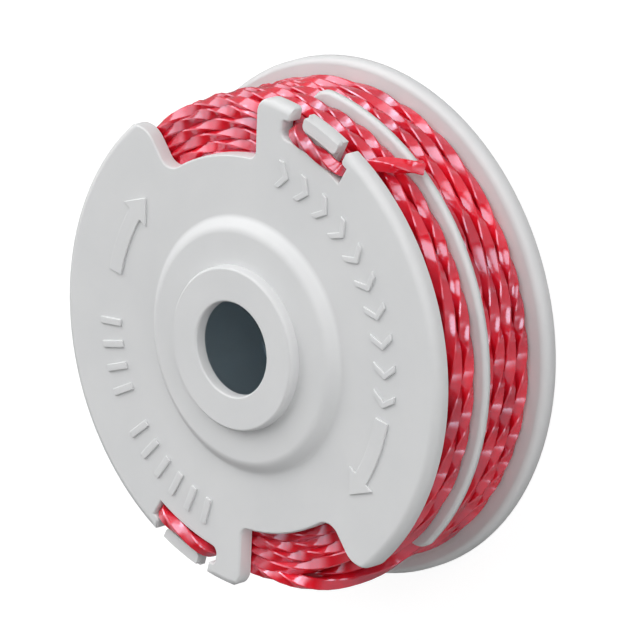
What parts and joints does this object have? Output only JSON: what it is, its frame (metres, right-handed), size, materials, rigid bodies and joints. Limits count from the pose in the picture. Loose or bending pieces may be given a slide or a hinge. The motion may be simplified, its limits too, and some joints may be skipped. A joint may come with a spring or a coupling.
{
  "type": "trimmer line spool",
  "caption": "Moulded line spool with stacked tracks of twisted red line, a notched front flange with line clips, a stepped boss and a hollow hub.",
  "frame": {"origin": "centre of the rear flange's rear face, on which the spool stands", "axes": "+Z along the spool's axis towards the notched front flange and its boss, +X in the middle of the plain side of the front flange"},
  "size_m": [0.0595, 0.0594, 0.0214],
  "materials": {
    "moulding": "light grey moulded glass-filled nylon, satin",
    "line": "glossy translucent red extruded nylon line, twisted square section"
  },
  "bodies": {
    "root": {"spool": "moulding", "front_line": "line", "rear_line": "line"}
  },
  "joints": []
}
